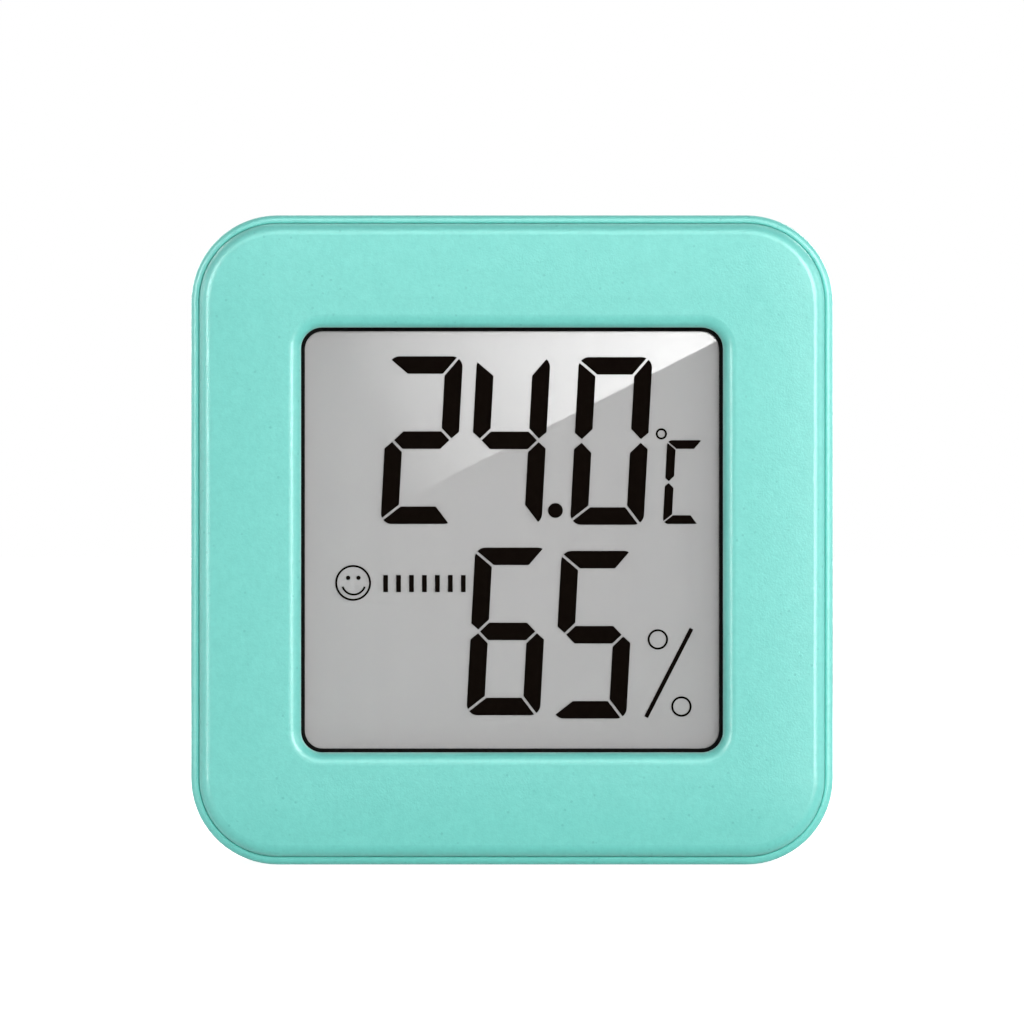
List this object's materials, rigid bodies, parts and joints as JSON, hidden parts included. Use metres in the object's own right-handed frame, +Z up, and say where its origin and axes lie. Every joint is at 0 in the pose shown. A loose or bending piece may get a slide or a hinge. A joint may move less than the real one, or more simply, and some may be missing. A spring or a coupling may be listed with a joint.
{
  "type": "pocket digital thermometer and hygrometer",
  "caption": "Rounded square digital temperature and humidity display with a recessed window, a fold-out stand, a coin cell cover and a unit button on its back.",
  "frame": {"origin": "middle of the footprint of the case standing on its bottom edge with the stand folded; z = 0 is the surface it stands on", "axes": "+X to the viewer's right, +Y from the display towards the back, +Z up; the display faces -Y"},
  "size_m": [0.043, 0.0126, 0.0435],
  "materials": {
    "mint_plastic": "moulded, fine satin grain, mint green",
    "clear_window": "clear, polished",
    "black_foam": "matt black foam",
    "polarising_film": "clear grey film",
    "display_glass": "clear glass",
    "seal_resin": "cured resin",
    "display_black": "opaque dark segments",
    "grey_reflector": "even matt grey reflector",
    "white_plastic": "moulded, matt white",
    "strip_rubber": "layered grey and black rubber",
    "board_green": "green solder mask over glass cloth",
    "black_resin": "black potting resin",
    "ceramic_body": "sintered ceramic with tinned ends",
    "nickel_steel": "nickel plated steel",
    "zinc_steel": "zinc plated steel",
    "seal_nylon": "moulded nylon",
    "cell_filling": "pressed powder",
    "black_plastic": "moulded black"
  },
  "bodies": {
    "case": {"front_case": "mint_plastic", "back_case": "mint_plastic", "display_window": "clear_window", "window_gasket": "black_foam", "front_polariser": "polarising_film", "lcd_front_glass": "display_glass", "lcd_seal": "seal_resin", "lcd_digits": "display_black", "lcd_signs": "display_black", "lcd_rear_glass": "display_glass", "lcd_reflector": "grey_reflector", "lcd_holder": "white_plastic", "contact_strip": "strip_rubber", "circuit_board": "board_green", "board_screws": "zinc_steel", "controller_chip": "black_resin", "humidity_sensor": "black_resin", "clock_crystal": "ceramic_body", "resistors": "ceramic_body", "capacitors": "ceramic_body", "negative_contact": "nickel_steel", "positive_contact": "nickel_steel", "cell_can": "nickel_steel", "cell_gasket": "seal_nylon", "cell_cap": "nickel_steel", "cell_core": "cell_filling", "switch_body": "black_plastic"},
    "cover": {"battery_cover": "mint_plastic"},
    "stand": {"stand": "mint_plastic"},
    "button": {"unit_button": "mint_plastic", "switch_plunger": "black_plastic"}
  },
  "joints": [
    {"name": "stand_hinge", "type": "hinge", "parent": "case", "child": "stand", "pos_m": [0, 0.0051, 0.033], "axis": [1, 0, 0], "range_deg": [0, 45]},
    {"name": "cover_turn", "type": "hinge", "parent": "case", "child": "cover", "pos_m": [0, 0.00625, 0.02175], "axis": [0, 1, 0], "range_deg": [0, 40]},
    {"name": "button_press", "type": "slide", "parent": "case", "child": "button", "axis": [0, -1, 0], "range_m": [0, 0.00035], "stiffness_N_per_m": 600, "springref_m": -0.0005}
  ]
}
